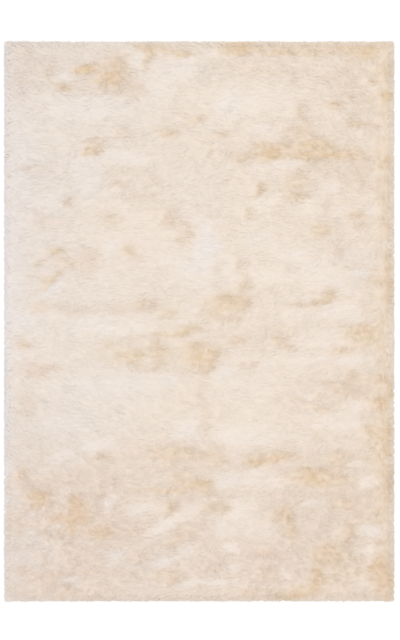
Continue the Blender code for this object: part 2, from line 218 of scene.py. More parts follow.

# Where the pile has been brushed: the middle, the half length and half width,
# the turn in degrees, the tone, from 1 where it parts and shows honey to -1 where it is laid
# flat and pale, and the tint. A parting's tint is how rosy it is, from 0 for golden to 1, and a
# mat's is how much lilac it adds.
# A parting's honey is partly the yarn's warmer tint and partly painted depth shade, and a mat's pale
# silver is painted sheen.
Brushed = namedtuple("Brushed", "x y along across turn tone tint")
PARTINGS = (
    # the top end, left
    (-0.350, 1.015, 0.082, 0.066, 0, 1.1, 0.35),
    (-0.375, 0.990, 0.050, 0.036, 0, 0.9, 0.35),
    (-0.455, 1.030, 0.056, 0.024, 0, 1.4, 0.1),
    (-0.550, 0.950, 0.036, 0.024, 0, 0.9, 0.1),
    (-0.600, 0.985, 0.036, 0.009, -45, 0.7, 0.5),
    (-0.480, 0.985, 0.130, 0.060, 0, 0.25, 0.3),
    (-0.255, 0.955, 0.058, 0.032, -45, 0.5, 0.3),
    (-0.300, 0.910, 0.060, 0.036, 0, 0.2, 0.2),
    (-0.250, 1.120, 0.055, 0.018, -15, 0.9, 0.2),
    (-0.215, 1.075, 0.022, 0.044, 0, 0.8, 0.2),
    (-0.150, 1.115, 0.070, 0.020, 0, 1.0, 0.1),
    (-0.070, 1.090, 0.036, 0.022, 0, 0.9, 0.0),
    (-0.480, 1.095, 0.280, 0.048, 0, 0.22, 0.9),
    (-0.610, 1.030, 0.018, 0.050, 0, 0.4, 0.3),
    (-0.720, 1.030, 0.080, 0.120, 0, 0.50, 1.0),
    (-0.010, 0.830, 0.034, 0.018, 0, 0.9, 0.2),
    (-0.135, 0.770, 0.040, 0.021, 0, 1.1, 0.1),
    (-0.430, 0.715, 0.046, 0.030, 20, 1.2, 0.3),
    (-0.480, 0.690, 0.024, 0.013, 10, 0.9, 0.0),
    (-0.700, 0.630, 0.042, 0.014, 15, 0.9, 0.7),
    (-0.305, 0.770, 0.070, 0.036, 0, 0.3, 0.6),
    (-0.640, 0.880, 0.030, 0.014, 0, 0.4, 0.8),
    (-0.250, 0.610, 0.085, 0.022, -8, 0.25, 0.4),
    (-0.320, 0.550, 0.040, 0.024, 0, 0.4, 0.4),
    (-0.240, 0.515, 0.050, 0.036, 0, 0.25, 0.4),
    (-0.185, 0.555, 0.028, 0.055, 0, 0.25, 0.4),
    (-0.250, 0.550, 0.110, 0.085, 0, 0.05, 0.8),
    (-0.540, 0.495, 0.036, 0.022, 0, 0.8, 0.5),
    (-0.370, 0.420, 0.065, 0.040, 0, 0.5, 0.4),
    (-0.120, 0.425, 0.036, 0.034, 0, 0.9, 0.2),
    (-0.050, 0.365, 0.036, 0.050, 0, 0.8, 0.3),
    (-0.600, 0.400, 0.095, 0.040, 0, 0.35, 0.7),
    (-0.580, 0.630, 0.090, 0.060, 0, 0.12, 0.7),
    (-0.200, 0.430, 0.180, 0.060, 0, 0.05, 0.4),
    # the top end, right
    (0.160, 1.122, 0.060, 0.026, -10, 1.1, 0.1),
    (0.330, 1.095, 0.060, 0.020, 0, 0.8, 0.3),
    (0.480, 1.118, 0.360, 0.030, 0, 0.9, 0.35),
    (0.700, 1.100, 0.085, 0.026, 0, 0.6, 0.2),
    (0.620, 1.010, 0.150, 0.060, 0, 0.2, 0.4),
    (0.650, 0.920, 0.110, 0.060, 0, 0.25, 0.5),
    (0.170, 1.040, 0.220, 0.050, 0, 0.2, 0.2),
    (0.640, 1.070, 0.050, 0.014, 0, 0.4, 0.9),
    (0.710, 0.975, 0.024, 0.015, 0, 0.8, 0.0),
    (0.775, 0.910, 0.020, 0.034, 0, 0.9, 0.1),
    (0.550, 0.875, 0.034, 0.016, 0, 1.0, 0.5),
    (0.610, 0.915, 0.014, 0.009, 0, 0.7, 1.0),
    (0.640, 0.812, 0.055, 0.020, 0, 0.65, 0.3),
    (0.390, 0.980, 0.030, 0.038, 0, 0.4, 0.3),
    (0.425, 0.860, 0.026, 0.045, 0, 0.7, 0.1),
    (0.430, 0.695, 0.235, 0.036, 0, 1.2, 0.2),
    (0.240, 0.720, 0.034, 0.016, 0, 0.7, 0.1),
    (0.585, 0.690, 0.045, 0.022, 0, 0.8, 0.2),
    (0.430, 0.785, 0.060, 0.030, 0, 0.45, 0.0),
    (0.400, 0.752, 0.060, 0.038, 0, 0.55, 0.0),
    (0.480, 0.735, 0.060, 0.032, 0, 0.55, 0.0),
    (0.175, 0.660, 0.044, 0.022, 0, 0.9, 0.3),
    (0.285, 0.675, 0.048, 0.034, 0, 0.9, 0.2),
    (0.095, 0.760, 0.042, 0.020, 0, 0.6, 0.4),
    (0.050, 0.700, 0.016, 0.034, 0, 0.6, 0.1),
    (0.250, 0.540, 0.022, 0.030, 0, 1.1, 0.3),
    (0.405, 0.560, 0.050, 0.060, 0, 0.6, 0.0),
    (0.400, 0.505, 0.048, 0.018, 0, 0.7, 0.4),
    (0.580, 0.640, 0.170, 0.090, 0, 0.25, 0.4),
    (0.212, 0.465, 0.018, 0.040, 0, 1.1, 0.0),
    (0.655, 0.610, 0.020, 0.040, 0, 0.4, 0.1),
    (0.660, 0.430, 0.042, 0.032, 0, 0.6, 0.2),
    # the middle, left
    (-0.590, 0.285, 0.044, 0.020, 0, 0.9, 0.1),
    (-0.640, 0.240, 0.045, 0.010, 55, 0.7, 0.3),
    (-0.560, 0.235, 0.060, 0.034, 0, 0.5, 0.6),
    (-0.460, 0.255, 0.075, 0.070, 0, 0.65, 0.6),
    (-0.595, 0.165, 0.046, 0.026, 58, 1.1, 0.0),
    (-0.670, 0.185, 0.034, 0.018, 0, 0.6, 0.5),
    (-0.640, 0.060, 0.036, 0.040, 0, 0.5, 0.3),
    (-0.430, 0.048, 0.180, 0.036, 0, 0.35, 0.6),
    (-0.265, 0.280, 0.050, 0.028, -45, 0.6, 0.0),
    (-0.180, 0.220, 0.200, 0.090, 0, 0.06, 0.0),
    (-0.225, 0.070, 0.052, 0.026, 0, 0.8, 0.6),
    (-0.145, 0.042, 0.046, 0.022, 0, 0.8, 0.0),
    (-0.722, -0.090, 0.026, 0.020, 0, 0.9, 0.2),
    (-0.660, -0.210, 0.055, 0.038, 0, 0.65, 0.9),
    (-0.600, -0.190, 0.050, 0.016, 0, 0.3, 0.5),
    (-0.690, -0.320, 0.075, 0.070, 0, 0.4, 1.0),
    (-0.680, -0.480, 0.110, 0.130, 0, 0.25, 1.0),
    (-0.130, -0.048, 0.050, 0.014, 0, 0.7, 0.3),
    (-0.050, -0.040, 0.065, 0.022, 0, 0.8, 0.0),
    (-0.160, -0.140, 0.042, 0.058, 0, 0.6, 0.0),
    (-0.025, -0.145, 0.052, 0.055, 0, 1.0, 0.2),
    (-0.275, -0.148, 0.055, 0.026, 0, 0.9, 0.0),
    (-0.360, -0.125, 0.065, 0.050, 0, 0.3, 0.0),
    (-0.170, -0.120, 0.210, 0.095, 0, 0.2, 0.0),
    (-0.200, -0.205, 0.080, 0.018, 0, 0.4, 0.9),
    # the middle, right
    (0.500, 0.370, 0.040, 0.034, 0, 0.8, 0.0),
    (0.560, 0.290, 0.044, 0.044, 0, 0.45, 0.9),
    (0.630, 0.225, 0.040, 0.024, 0, 0.4, 0.5),
    (0.190, 0.150, 0.022, 0.036, 0, 0.9, 0.3),
    (0.190, 0.230, 0.026, 0.024, 0, 0.6, 0.4),
    (0.080, 0.215, 0.022, 0.040, 0, 0.4, 0.2),
    (0.270, 0.115, 0.042, 0.016, 0, 0.5, 0.4),
    (0.105, 0.062, 0.072, 0.062, 0, 1.1, 0.0),
    (0.200, 0.075, 0.034, 0.030, 0, 0.7, 0.3),
    (0.530, 0.100, 0.034, 0.028, 0, 0.9, 0.1),
    (0.480, 0.082, 0.020, 0.016, 0, 0.9, 0.0),
    (0.400, 0.072, 0.042, 0.016, 0, 0.7, 0.4),
    (0.370, 0.200, 0.045, 0.038, 0, 0.3, 0.7),
    (0.660, -0.060, 0.076, 0.048, 0, 1.1, 0.3),
    (0.580, -0.115, 0.060, 0.015, 18, 0.8, 0.4),
    (0.330, -0.075, 0.030, 0.024, 0, 1.2, 0.0),
    (0.370, -0.110, 0.036, 0.014, 0, 0.9, 0.6),
    (0.130, -0.080, 0.055, 0.018, 0, 0.5, 0.2),
    (0.210, -0.055, 0.220, 0.070, 0, 0.12, 0.3),
    (0.040, -0.155, 0.050, 0.052, 0, 1.9, 0.2),
    (0.215, -0.168, 0.045, 0.014, 15, 0.7, 0.9),
    (0.730, -0.235, 0.036, 0.022, 0, 0.8, 0.5),
    (0.640, -0.230, 0.026, 0.030, 0, 0.5, 0.0),
    (0.580, -0.280, 0.090, 0.026, -8, 0.6, 0.7),
    (0.490, -0.310, 0.024, 0.020, 0, 0.7, 0.0),
    (0.740, -0.335, 0.055, 0.032, 0, 1.1, 0.3),
    (0.510, -0.355, 0.055, 0.024, 0, 0.6, 0.4),
    (0.380, -0.330, 0.085, 0.050, 0, 0.3, 0.6),
    (0.680, -0.270, 0.120, 0.080, 0, 0.3, 0.5),
    # the right-hand edge
    (0.735, 0.700, 0.045, 0.380, 0, 0.08, 0.8),
    (0.772, 1.000, 0.026, 0.130, 0, 0.6, 0.5),
    (0.775, 0.640, 0.026, 0.060, 0, 0.7, 0.2),
    (0.770, 0.500, 0.030, 0.040, 0, 0.8, 0.4),
    (0.772, 0.400, 0.030, 0.050, 0, 0.9, 0.6),
    (0.780, 0.240, 0.018, 0.040, 0, 0.9, 0.2),
    (0.776, 0.130, 0.026, 0.085, 0, 1.4, 0.5),
    (0.740, 0.180, 0.030, 0.040, 0, 0.5, 0.3),
    (0.775, -0.270, 0.024, 0.045, 0, 0.9, 0.1),
    (0.775, -0.480, 0.026, 0.090, 0, 1.0, 0.4),
    (0.770, -0.660, 0.028, 0.080, 0, 0.9, 0.5),
    (0.750, -1.030, 0.045, 0.080, 0, 1.5, 0.3),
    (0.780, -1.090, 0.020, 0.050, 0, 0.7, 0.3),
    (0.705, -0.445, 0.026, 0.040, 0, 0.6, 0.1),
    (0.740, -0.550, 0.060, 0.180, 0, 0.3, 0.3),
    # the lower end, left
    (-0.540, -0.860, 0.260, 0.240, 0, 0.5, 0.75),
    (-0.725, -0.620, 0.022, 0.024, 0, 0.7, 0.0),
    (-0.655, -0.728, 0.040, 0.048, 0, 1.2, 0.25),
    (-0.700, -0.660, 0.030, 0.034, 0, 0.5, 0.8),
    (-0.530, -0.800, 0.095, 0.085, 0, 0.4, 0.2),
    (-0.505, -0.775, 0.036, 0.068, 0, 1.5, 0.4),
    (-0.575, -0.820, 0.036, 0.024, 0, 0.5, 0.3),
    (-0.400, -0.862, 0.052, 0.034, 0, 0.9, 0.2),
    (-0.540, -0.935, 0.045, 0.018, 15, 0.5, 0.2),
    (-0.560, -1.030, 0.140, 0.016, 0, 0.5, 0.4),
    (-0.430, -1.025, 0.040, 0.018, 0, 0.5, 0.7),
    (-0.620, -1.070, 0.080, 0.030, 0, 0.5, 1.0),
    (-0.560, -1.120, 0.170, 0.022, 0, 0.5, 0.6),
    (-0.730, -0.960, 0.050, 0.180, 0, 0.12, 1.0),
    (-0.400, -0.550, 0.046, 0.018, 0, 0.6, 0.3),
    (-0.300, -0.610, 0.240, 0.085, 0, 0.15, 0.6),
    (-0.090, -0.542, 0.075, 0.040, 0, 1.0, 0.35),
    (-0.200, -0.530, 0.090, 0.026, 0, 0.4, 0.4),
    (-0.140, -0.690, 0.130, 0.015, 4, 0.6, 0.0),
    (-0.050, -0.650, 0.060, 0.050, 0, 0.6, 0.1),
    (-0.410, -0.710, 0.040, 0.014, 0, 0.5, 0.8),
    (-0.110, -0.760, 0.036, 0.040, 0, 0.7, 0.0),
    (-0.060, -0.870, 0.045, 0.034, 0, 0.7, 0.2),
    (-0.100, -0.905, 0.052, 0.020, 15, 0.6, 0.3),
    (-0.240, -0.960, 0.070, 0.026, 10, 0.5, 0.8),
    (-0.250, -0.865, 0.040, 0.020, 0, 0.4, 0.6),
    (-0.120, -1.045, 0.060, 0.028, 0, 0.6, 0.2),
    (-0.210, -1.040, 0.060, 0.040, 0, 0.3, 0.7),
    # the lower end, right
    (0.300, -0.558, 0.100, 0.030, 5, 1.35, 0.3),
    (0.215, -0.580, 0.034, 0.022, 0, 0.6, 0.0),
    (0.055, -0.560, 0.060, 0.044, 0, 0.8, 0.3),
    (0.030, -0.675, 0.048, 0.030, 0, 1.3, 0.1),
    (0.480, -0.640, 0.105, 0.034, -6, 1.25, 0.1),
    (0.575, -0.560, 0.044, 0.036, 0, 0.6, 0.0),
    (0.560, -0.640, 0.200, 0.130, 0, 0.15, 0.0),
    (0.365, -0.820, 0.085, 0.022, -82, 0.9, 0.1),
    (0.310, -0.800, 0.040, 0.044, 0, 0.5, 0.4),
    (0.595, -0.750, 0.048, 0.030, 0, 0.8, 0.3),
    (0.730, -0.760, 0.040, 0.060, 0, 0.6, 0.6),
    (0.055, -0.760, 0.050, 0.024, 0, 0.6, 0.1),
    (0.115, -0.775, 0.018, 0.020, 0, 0.7, 0.5),
    (0.610, -0.870, 0.040, 0.044, 0, 0.7, 0.4),
    (0.550, -0.940, 0.060, 0.050, 0, 0.8, 0.2),
    (0.480, -0.970, 0.034, 0.036, 0, 0.6, 0.1),
    (0.280, -0.950, 0.055, 0.022, 0, 0.6, 0.8),
    (0.485, -1.060, 0.034, 0.060, 0, 0.9, 0.1),
    (0.580, -1.040, 0.120, 0.080, 0, 0.5, 0.4),
    (0.370, -1.115, 0.080, 0.024, 10, 0.9, 0.1),
    (0.050, -1.010, 0.034, 0.020, 0, 0.7, 0.8),
    (0.270, -1.030, 0.040, 0.034, 0, 0.4, 0.8),
    (0.180, -1.110, 0.100, 0.024, 0, 0.5, 0.4),
    (0.030, -0.350, 0.030, 0.150, 0, 0.4, 0.6),
    (0.250, -1.000, 0.200, 0.100, 0, 0.2, 0.9),
)
MATS = (
    # the top end
    (-0.080, 1.030, 0.085, 0.045, 0, -0.7, 0.0),
    (-0.150, 0.940, 0.060, 0.070, 0, -0.5, 0.0),
    (-0.450, 0.870, 0.170, 0.048, 5, -0.5, 0.0),
    (-0.540, 1.000, 0.036, 0.012, 0, -0.8, 0.0),
    (-0.270, 1.060, 0.024, 0.030, 0, -0.6, 0.0),
    (-0.280, 0.670, 0.100, 0.022, -8, -0.8, 0.0),
    (-0.450, 0.600, 0.055, 0.100, 0, -0.5, 0.2),
    (-0.610, 0.500, 0.055, 0.030, 0, -0.6, 0.0),
    (-0.791, 0.130, 0.021, 1.060, 0, -1.0, 1.0),
    (-0.735, 0.930, 0.030, 0.150, 0, -0.05, 0.1),
    (-0.735, 0.620, 0.070, 0.200, 0, -0.2, 0.35),
    (-0.742, 0.200, 0.018, 0.240, 0, -0.3, 0.6),
    (0.020, 1.050, 0.130, 0.080, 0, -0.05, 0.25),
    (0.000, 0.500, 0.120, 0.110, 0, -0.05, 0.25),
    (-0.350, 0.535, 0.026, 0.010, 0, -0.7, 0.0),
    (0.230, 0.900, 0.180, 0.055, 0, -0.6, 0.0),
    (0.120, 0.880, 0.060, 0.080, 0, -0.5, 0.2),
    (0.250, 0.790, 0.050, 0.024, 0, -0.6, 0.4),
    (0.070, 1.100, 0.018, 0.016, 0, -0.8, 0.0),
    (0.450, 0.470, 0.020, 0.030, 0, -0.9, 0.0),
    (0.260, 0.490, 0.090, 0.034, 15, -0.6, 0.0),
    (0.545, 0.550, 0.022, 0.022, 0, -0.8, 0.0),
    (0.700, 0.460, 0.028, 0.022, 0, -0.9, 0.0),
    (0.590, 0.460, 0.026, 0.014, 30, -0.7, 0.0),
    (0.350, 0.640, 0.100, 0.018, 10, -0.5, 0.2),
    # the middle
    (-0.350, 0.310, 0.020, 0.030, 0, -1.0, 0.3),
    (-0.330, 0.300, 0.250, 0.180, 0, -0.25, -0.25),
    (-0.560, -0.010, 0.200, 0.110, 0, -0.05, 0.2),
    (-0.350, -0.290, 0.240, 0.130, 0, -0.1, 0.3),
    (0.670, 0.240, 0.120, 0.110, 0, -0.1, 0.65),
    (-0.140, 0.250, 0.024, 0.018, 0, -0.9, 0.0),
    (-0.030, 0.220, 0.055, 0.030, 0, -0.8, 0.0),
    (0.030, 0.320, 0.045, 0.090, 0, -0.9, 0.45),
    (0.020, 0.240, 0.090, 0.110, 0, -0.35, 0.1),
    (0.000, 0.000, 0.150, 0.120, 0, -0.1, -0.4),
    (-0.580, 0.135, 0.045, 0.014, 38, -1.0, 0.5),
    (-0.350, -0.020, 0.170, 0.032, 0, -0.6, 0.0),
    (-0.720, 0.000, 0.055, 0.022, 0, -0.6, 0.3),
    (-0.300, -0.260, 0.210, 0.032, 0, -0.35, 0.1),
    (-0.125, -0.240, 0.032, 0.016, 0, -0.8, 0.4),
    (-0.740, -0.140, 0.022, 0.012, 0, -0.8, 0.2),
    (-0.660, -0.280, 0.100, 0.160, 0, -0.1, -0.25),
    (0.135, 0.200, 0.022, 0.040, 0, -0.8, 0.0),
    (0.250, 0.330, 0.070, 0.036, 0, -0.5, 0.4),
    (0.440, 0.230, 0.160, 0.110, 0, -0.35, 0.35),
    (0.390, 0.265, 0.055, 0.020, -20, -0.7, 0.0),
    (0.270, 0.180, 0.050, 0.020, 0, -0.6, 0.0),
    (0.470, 0.200, 0.050, 0.045, 0, -0.6, 0.0),
    (0.600, 0.145, 0.060, 0.018, -35, -1.0, 0.1),
    (0.665, 0.180, 0.024, 0.014, 0, -0.7, 0.3),
    (0.570, 0.040, 0.085, 0.028, 0, -0.9, 0.1),
    (0.640, 0.010, 0.026, 0.020, 0, -0.7, 0.2),
    (0.400, 0.030, 0.045, 0.026, 0, -0.6, 0.0),
    (0.530, -0.045, 0.036, 0.008, 20, -0.9, 0.0),
    (0.500, -0.080, 0.110, 0.028, 0, -0.5, 0.1),
    (0.270, -0.165, 0.032, 0.022, 0, -0.8, 0.1),
    (0.100, -0.220, 0.050, 0.050, 0, -0.5, 0.3),
    (0.200, -0.290, 0.130, 0.085, 0, -0.15, 0.1),
    (0.430, -0.150, 0.110, 0.026, 0, -0.5, 0.0),
    (0.620, -0.158, 0.052, 0.013, 8, -0.9, 0.4),
    (0.640, -0.340, 0.036, 0.020, 30, -1.0, 0.1),
    (0.450, -0.300, 0.024, 0.010, 0, -0.7, 0.0),
    # the lower end
    (-0.560, -0.430, 0.130, 0.050, 0, -0.15, 0.1),
    (-0.570, -0.550, 0.050, 0.026, 15, -0.8, 0.0),
    (-0.400, -0.495, 0.060, 0.015, 8, -0.6, 0.0),
    (-0.050, -0.445, 0.050, 0.048, 0, -0.6, 0.4),
    (-0.370, -0.750, 0.028, 0.030, 0, -0.9, 0.5),
    (-0.240, -0.765, 0.060, 0.034, 0, -0.6, 0.0),
    (-0.120, -0.830, 0.110, 0.022, 32, -1.0, 0.0),
    (-0.120, -0.985, 0.075, 0.012, 20, -0.8, 0.1),
    (-0.040, -0.940, 0.034, 0.014, 10, -0.9, 0.1),
    (-0.030, -1.075, 0.040, 0.016, 15, -0.9, 0.0),
    (-0.520, -1.060, 0.030, 0.018, 0, -0.6, 0.6),
    (-0.350, -0.960, 0.060, 0.034, 0, -0.4, 0.5),
    (0.180, -0.460, 0.110, 0.045, 0, -0.8, 0.1),
    (0.320, -0.480, 0.080, 0.020, 0, -0.5, 0.2),
    (0.130, -0.655, 0.080, 0.032, 0, -0.6, 0.4),
    (0.280, -0.660, 0.080, 0.040, 0, -0.5, 0.0),
    (0.590, -0.420, 0.070, 0.036, 0, -0.7, 0.1),
    (0.480, -0.430, 0.022, 0.014, 0, -0.9, 0.0),
    (0.170, -0.780, 0.070, 0.050, 0, -0.7, 0.0),
    (0.100, -0.850, 0.060, 0.036, 0, -0.6, 0.1),
    (0.130, -0.930, 0.034, 0.018, 0, -0.9, 0.1),
    (0.250, -0.870, 0.070, 0.045, 0, -0.4, 0.1),
    (0.355, -1.040, 0.020, 0.030, 0, -1.0, 0.0),
    (0.080, -1.070, 0.070, 0.013, 0, -0.9, 0.1),
    (0.150, -1.010, 0.036, 0.015, 20, -0.7, 0.2),
    (0.690, -0.660, 0.045, 0.028, 20, -0.9, 0.0),
    (0.660, -0.590, 0.045, 0.022, 0, -0.5, 0.1),
    (0.700, -0.860, 0.055, 0.028, 0, -0.9, 0.6),
    (0.690, -0.940, 0.026, 0.026, 0, -0.8, 0.3),
    (0.650, -1.070, 0.050, 0.026, 0, -0.7, 0.7),
    (0.470, -0.750, 0.050, 0.020, 0, -0.4, 0.6),
    (-0.600, -0.880, 0.190, 0.230, 0, -0.1, 0.1),
    (-0.700, -0.930, 0.090, 0.060, 0, -0.2, 0.3),
    (-0.220, -1.000, 0.110, 0.120, 0, -0.05, 0.35),
)

# Yarn colours: cream; a silver that is painted sheen where the pile is laid flat; and where it
# parts golden honey or a dusky rose, the yarn's warmer tint deepened by painted shade inside
# the pile. LILAC is what cream and the silver sheen are multiplied by, as far as the pile is
# lilac: a cool tint that goes with the painted sheen.
CREAM = (0.846, 0.740, 0.634, 1.0)
SILVER_SHEEN = (0.868, 0.787, 0.724, 1.0)
LILAC = (0.948, 0.989, 1.070, 1.0)
HONEY = (0.748, 0.581, 0.386, 1.0)
ROSE = (0.742, 0.588, 0.486, 1.0)
JUTE = (0.66, 0.56, 0.42, 1.0)
JUTE_SHADE = (0.42, 0.34, 0.24, 1.0)  # painted shade in the dips between the backing's threads
FLOOR_WHITE = (0.98, 0.98, 0.98, 1.0)

# How the yarn's colour follows its warmth. The share of the painted silver sheen falls from
# SILVER_AT_REST, and that of honey and rose, which is partly painted depth shade, rises by both
# numbers of DEPTH, times the warmth and times its square.
SILVER_AT_REST = 0.28
SILVER_FALL = 0.55
DEPTH = (0.31, 0.12)
ROOT_SHADE_WARMTH = 0.12  # how much warmer a lock is at its root than at its tip, as painted shade deep in the pile
EVEN_PLACE = 0.55  # the place along it that is neither warmer nor less warm
LOT_SPREAD = 0.06  # how much locks differ in warmth where the pile lies flat
LOT_SPREAD_RISE = 0.5  # and how much more where it parts
BED_SHADE_WARMTH = 0.10  # how much warmer the bed is than the locks over it, as painted shade under them

# The streaks along a lock add up two patterns of noise, its fibres and the wider strands: how
# many there are for a millimetre round it and for one along it, and how strongly they show.
# The third number has nothing to scale.
FIBRES = (1.0, 0.030, 1.0)
STRANDS = (0.45, 0.014, 1.0)
FIBRE_CONTRAST = 3.0
STRAND_CONTRAST = 1.2
STREAK_BUMP = 0.00012
GAP_STEEP = 2.2  # how quickly the painted shade in a gap deepens where streaks are under one half
GAP_PAINTED_SHADE = (0.86, 0.86, 0.87, 1.0)  # what the deep colour is multiplied by for the painted shade in a gap between fibres
GAP_SHARE = 0.38  # how much of that painted shade shows in a gap where the pile lies flat
GAP_SHARE_RISE = 0.28  # and how much more where it parts
BED_TUFTS = (45.0, 900.0, 900.0)  # for each metre
BED_BETWEEN = 0.75  # their noise is under this between them, where the bed gets painted shade
BED_SHARE = 0.6  # how strongly the deep colour shows there, as painted shade between the tufts
WEAVE_FUZZ = (900.0, 900.0, 900.0)  # for each metre
FUZZ_SHARE = 0.25  # share of random fuzz in what mixes the backing's colour, and the height of its threads gives the rest, as painted shade in the dips
CROSSING = 4.0  # how sharply one thread goes under the other

# The camera: what its frame shows, in metres, with the rug's middle nearly in the middle
VIEW_LENGTH = 2.626  # along Y
VIEW_MIDDLE = (0.0035, 0.0058)
CAMERA_HEIGHT = 9.0
SENSOR = 36.0  # mm, on the frame's long side

# The studio
FLOOR_REACH = 14.0
FLOOR_DROP = 0.0004  # keeps the floor clear of the backing's underside
EVEN_LIGHT = 0.42
SUN_STRENGTH = 2.05
SUN_WIDTH = math.radians(35)
SUN_TURN = (math.radians(-2), math.radians(-3), 0)

TINY = 1e-9  # keeps a division from being by zero


# ---------------------------------------------------------------- fields over the rug


def chance(seed):
    """Chance numbers, the same ones in each run."""
    return np.random.default_rng(seed)


def bell(distance, width):
    """1 at no distance, and exp(-(distance / width)^2) at any other."""
    return np.exp(-((distance / width) ** 2))


def eased(share):
    """3t^2 - 2t^3, which goes from 0 to 1 as t does, and is level at both."""
    return share * share * (3 - 2 * share)


def rising(start, share):
    """A number that is start where the share is 0 or less, and 1 where it is 1 or more."""
    return start + (1 - start) * np.clip(share, 0, 1)


def blended(values, column, row, next_column, next_row, u, v):
    """Between a grid's four values round a place, u of the way across and v along."""
    near = values[column, row] * (1 - u) + values[next_column, row] * u
    far = values[column, next_row] * (1 - u) + values[next_column, next_row] * u
    return near * (1 - v) + far * v


def soft_noise(x, y, pitch_x, pitch_y, seed):
    """Smooth noise from -1 to 1: chance heights on an endless lattice, eased in between."""
    size = 512
    lattice = chance(seed).uniform(-1, 1, (size, size)).T
    across, along = x / pitch_x, y / pitch_y
    column, row = np.floor(across).astype(int), np.floor(along).astype(int)
    u, v = eased(across - column), eased(along - row)
    return blended(lattice, column % size, row % size, (column + 1) % size, (row + 1) % size, u, v)


def layered(x, y, layers):
    """The sum of these layers of soft noise, each times its height."""
    return sum(height * soft_noise(x, y, *lattice) for height, *lattice in layers)


def inside(x, y):
    """Distance in from the outline, a rectangle with round corners. It is negative past it."""
    past_x = np.abs(x) - (HALF_WIDTH - CORNER)
    past_y = np.abs(y) - (HALF_LENGTH - CORNER)
    outer = np.hypot(np.maximum(past_x, 0), np.maximum(past_y, 0))
    return CORNER - outer - np.minimum(np.maximum(past_x, past_y), 0)


def way_out(x, y):
    """Unit vector outwards within FAN of a side, turned to the corner near one. It is 0 further in."""
    past_x = np.maximum(np.abs(x) - (HALF_WIDTH - FAN), 0) * np.sign(x)
    past_y = np.maximum(np.abs(y) - (HALF_LENGTH - FAN), 0) * np.sign(y)
    size = np.maximum(np.hypot(past_x, past_y), TINY)
    return past_x / size, past_y / size


def grid_lines(pitch):
    """The lines of an even grid over the rug, along X and along Y."""
    return [np.arange(-half, half + pitch, pitch) for half in (HALF_WIDTH, HALF_LENGTH)]


def even_rows(inset, pitch, more=0):
    """X and Y of places in even rows, from this far in on one side to as far in on the other.

    Their number is the rug's size over the pitch, and this many more.
    """
    reaches = (HALF_WIDTH - inset, HALF_LENGTH - inset)
    counts = [round(2 * reach / pitch) + more for reach in reaches]
    return np.meshgrid(*(np.linspace(-reach, reach, count) for reach, count in zip(reaches, counts)))


def between(values, pitch, x, y):
    """A grid's values at any place, straight between its points."""
    short = 1.001  # this far before the grid's end in points, there is still a next one
    across = np.clip((x + HALF_WIDTH) / pitch, 0, values.shape[0] - short)
    along = np.clip((y + HALF_LENGTH) / pitch, 0, values.shape[1] - short)
    column, row = across.astype(int), along.astype(int)
    return blended(values, column, row, column + 1, row + 1, across - column, along - row)


def points_of(piece):
    """A piece's points, a row each."""
    points = np.empty(len(piece.data.vertices) * 3)
    piece.data.vertices.foreach_get("co", points)
    return points.reshape(-1, 3)


def solid_lumps():
    """Open height of the pile on an even grid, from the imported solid's own top points.

    Each grid point takes the mean of the solid's points, weighted by a bell of the distance.
    The bell is a product of one in X and one in Y, so the sums are two matrix products.
    """
    x, y, z = np.unique(points_of(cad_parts["shag_rug"]).round(5), axis=0).T
    top = (inside(x, y) > OPEN_FROM) & (z > LOWEST_LUMP)
    x, y, z = x[top], y[top], z[top]
    grid_x, grid_y = grid_lines(LUMP_PITCH)
    bell_x = bell(grid_x[:, None] - x, LUMP_REACH)
    bell_y = bell(grid_y[:, None] - y, LUMP_REACH)
    return (bell_x * z) @ bell_y.T / (bell_x @ bell_y.T)


LUMPS = solid_lumps()


def ground(x, y, sunk):
    """The open height less how far it is sunk, rolled down to the floor.

    The roll is a quarter of an ellipse, upright at the outline and level ROLL in from it.
    """
    share = np.clip(inside(x, y) / ROLL, 0, 1)
    return (between(LUMPS, LUMP_PITCH, x, y) - sunk) * np.sqrt(1 - (1 - share) ** 2)


def pile_up(x, y):
    """Upward unit vectors for shading the pile, from its slopes over a few millimetres.

    They lie between square to its surface and straight up, because light passes on from
    fibre to fibre and so evens out what slopes there are.
    """
    step = 0.006
    slope_x = (ground(x + step, y, 0) - ground(x - step, y, 0)) / (2 * step)
    slope_y = (ground(x, y + step, 0) - ground(x, y - step, 0)) / (2 * step)
    square = unit(np.stack((-slope_x, -slope_y, np.ones_like(x)), axis=-1))
    return unit(square + (0, 0, EVENED))


def lie(name, warm):
    """One measure of how locks are made, between FLAT and PARTED by the pile's warmth."""
    parted = np.clip(PARTED_AT_REST + PARTED_RISE * warm, 0, 1)
    return getattr(FLAT, name) + (getattr(PARTED, name) - getattr(FLAT, name)) * parted


def over_places(x, y):
    """For each brushed place: itself, its strength at (x, y) and how far off its axis they are.

    The strength is exp(-r^3) on a turned oval, so it is flat in the middle and falls quickly
    at the edge. The oval's edge is drawn out and frayed by noise that is longer along X.
    """
    frayed_x, frayed_y = x + layered(x, y, FRAY_X), y + layered(x, y, FRAY_Y)
    for place in map(Brushed._make, PARTINGS + MATS):
        turn = math.radians(place.turn)
        off_x, off_y = frayed_x - place.x, frayed_y - place.y
        u = (off_x * math.cos(turn) + off_y * math.sin(turn)) / place.along
        v = (off_y * math.cos(turn) - off_x * math.sin(turn)) / place.across
        from_middle = u * u + v * v
        yield place, np.exp(-from_middle * np.sqrt(from_middle)), v


